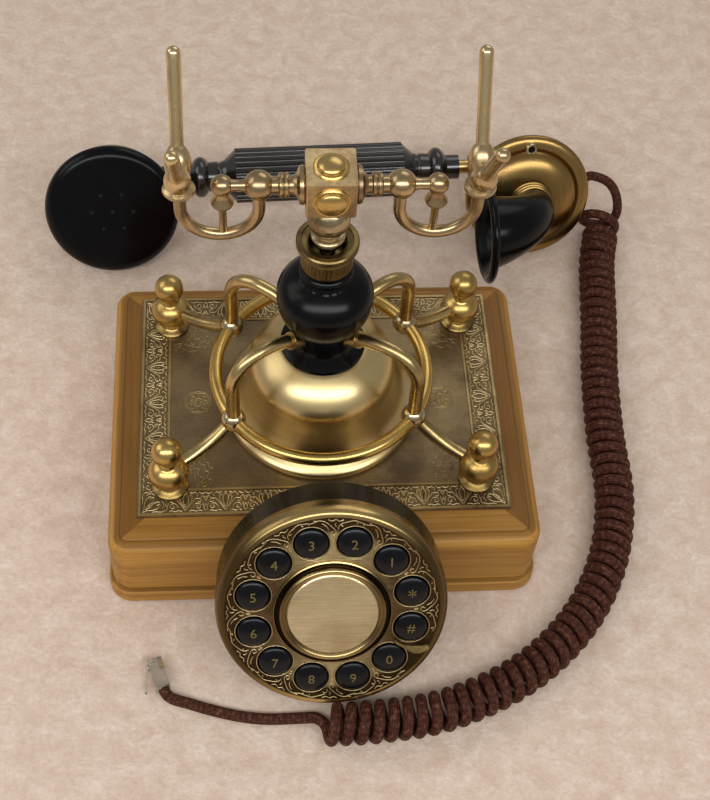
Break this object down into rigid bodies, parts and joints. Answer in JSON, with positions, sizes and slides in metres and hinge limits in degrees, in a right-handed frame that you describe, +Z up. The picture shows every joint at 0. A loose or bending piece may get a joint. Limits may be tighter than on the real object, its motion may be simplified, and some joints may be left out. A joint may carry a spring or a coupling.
{
  "type": "telephone",
  "caption": "Antique-style desk telephone: wooden base, brass cage and sprung cradle, round push-button dial, horn handset lying behind on a curly cord.",
  "frame": {"origin": "on the column's axis, at the underside of the felt pad, where the base meets the table", "axes": "+Z up along the column, -Y the way the dial faces, +X to the right of someone facing the dial"},
  "size_m": [0.3325, 0.3538, 0.2581],
  "materials": {
    "wood": "satin",
    "cover_board": "matte",
    "felt": "matte",
    "steel": "satin",
    "board": "matte",
    "black_plastic": "gloss",
    "black_lacquer": "gloss",
    "embossed_brass": "antique",
    "brass": "brushed",
    "dark_brass": "antique",
    "pale_brass": "brushed",
    "rubber": "matte",
    "braid": "woven",
    "clear_plastic": "clear"
  },
  "bodies": {
    "base": {"wood_base": "wood", "bottom_cover": "cover_board", "base_pad": "felt", "cover_screws": "steel", "circuit_board": "board", "ringer": "black_plastic", "hook_switch": "black_plastic", "line_jack": "black_plastic", "handset_jack": "black_plastic", "base_plate": "embossed_brass", "corner_posts": "brass", "dome": "brass", "tie_tube": "steel", "column": "black_lacquer", "column_collar": "dark_brass", "cage_ring": "brass", "cage_brackets": "brass", "cage_struts": "brass", "dial_mount": "dark_brass", "dial_housing": "dark_brass", "dial_rim": "brass", "dial_face": "embossed_brass", "dial_hub_ring": "brass", "dial_centre_disc": "pale_brass", "keypad_board": "board", "key_mat": "rubber", "plunger_spring": "steel", "cord_coil": "braid", "cord_tail": "braid", "plug": "clear_plastic"},
    "cradle": {"cradle_stem": "brass", "plunger_rod": "steel", "cradle_block": "brass", "block_caps": "brass", "cradle_arms": "brass", "cradle_u_tubes": "brass", "cradle_forks": "brass"},
    "handset": {"receiver_cap": "black_plastic", "receiver_shell": "black_plastic", "receiver_capsule": "black_plastic", "handset_grip": "black_plastic", "handset_rod": "brass", "transmitter_shell": "dark_brass", "transmitter_front": "dark_brass", "mic_capsule": "black_plastic", "horn": "black_lacquer", "cord_gland": "rubber", "cord_lead": "braid"},
    "key_1_body": {"key_1": "black_lacquer"},
    "key_2_body": {"key_2": "black_lacquer"},
    "key_3_body": {"key_3": "black_lacquer"},
    "key_4_body": {"key_4": "black_lacquer"},
    "key_5_body": {"key_5": "black_lacquer"},
    "key_6_body": {"key_6": "black_lacquer"},
    "key_7_body": {"key_7": "black_lacquer"},
    "key_8_body": {"key_8": "black_lacquer"},
    "key_9_body": {"key_9": "black_lacquer"},
    "key_0_body": {"key_0": "black_lacquer"},
    "key_hash_body": {"key_hash": "black_lacquer"},
    "key_star_body": {"key_star": "black_lacquer"}
  },
  "joints": [
    {"name": "cradle_press", "type": "slide", "parent": "base", "child": "cradle", "axis": [0, 0, 1], "range_m": [-0.006, 0], "stiffness_N_per_m": 150, "springref_m": 0.0265, "deforming": ["plunger_spring"]},
    {"name": "key_1_press", "type": "slide", "parent": "base", "child": "key_1_body", "axis": [0, 0.866, -0.5], "range_m": [0, 0.0015], "stiffness_N_per_m": 200, "springref_m": -0.002},
    {"name": "key_2_press", "type": "slide", "parent": "base", "child": "key_2_body", "axis": [0, 0.866, -0.5], "range_m": [0, 0.0015], "stiffness_N_per_m": 200, "springref_m": -0.002},
    {"name": "key_3_press", "type": "slide", "parent": "base", "child": "key_3_body", "axis": [0, 0.866, -0.5], "range_m": [0, 0.0015], "stiffness_N_per_m": 200, "springref_m": -0.002},
    {"name": "key_4_press", "type": "slide", "parent": "base", "child": "key_4_body", "axis": [0, 0.866, -0.5], "range_m": [0, 0.0015], "stiffness_N_per_m": 200, "springref_m": -0.002},
    {"name": "key_5_press", "type": "slide", "parent": "base", "child": "key_5_body", "axis": [0, 0.866, -0.5], "range_m": [0, 0.0015], "stiffness_N_per_m": 200, "springref_m": -0.002},
    {"name": "key_6_press", "type": "slide", "parent": "base", "child": "key_6_body", "axis": [0, 0.866, -0.5], "range_m": [0, 0.0015], "stiffness_N_per_m": 200, "springref_m": -0.002},
    {"name": "key_7_press", "type": "slide", "parent": "base", "child": "key_7_body", "axis": [0, 0.866, -0.5], "range_m": [0, 0.0015], "stiffness_N_per_m": 200, "springref_m": -0.002},
    {"name": "key_8_press", "type": "slide", "parent": "base", "child": "key_8_body", "axis": [0, 0.866, -0.5], "range_m": [0, 0.0015], "stiffness_N_per_m": 200, "springref_m": -0.002},
    {"name": "key_9_press", "type": "slide", "parent": "base", "child": "key_9_body", "axis": [0, 0.866, -0.5], "range_m": [0, 0.0015], "stiffness_N_per_m": 200, "springref_m": -0.002},
    {"name": "key_0_press", "type": "slide", "parent": "base", "child": "key_0_body", "axis": [0, 0.866, -0.5], "range_m": [0, 0.0015], "stiffness_N_per_m": 200, "springref_m": -0.002},
    {"name": "key_hash_press", "type": "slide", "parent": "base", "child": "key_hash_body", "axis": [0, 0.866, -0.5], "range_m": [0, 0.0015], "stiffness_N_per_m": 200, "springref_m": -0.002},
    {"name": "key_star_press", "type": "slide", "parent": "base", "child": "key_star_body", "axis": [0, 0.866, -0.5], "range_m": [0, 0.0015], "stiffness_N_per_m": 200, "springref_m": -0.002},
    {"name": "handset_lift", "type": "slide", "parent": "base", "child": "handset", "axis": [0, 0, 1], "range_m": [0, 0.15]}
  ]
}
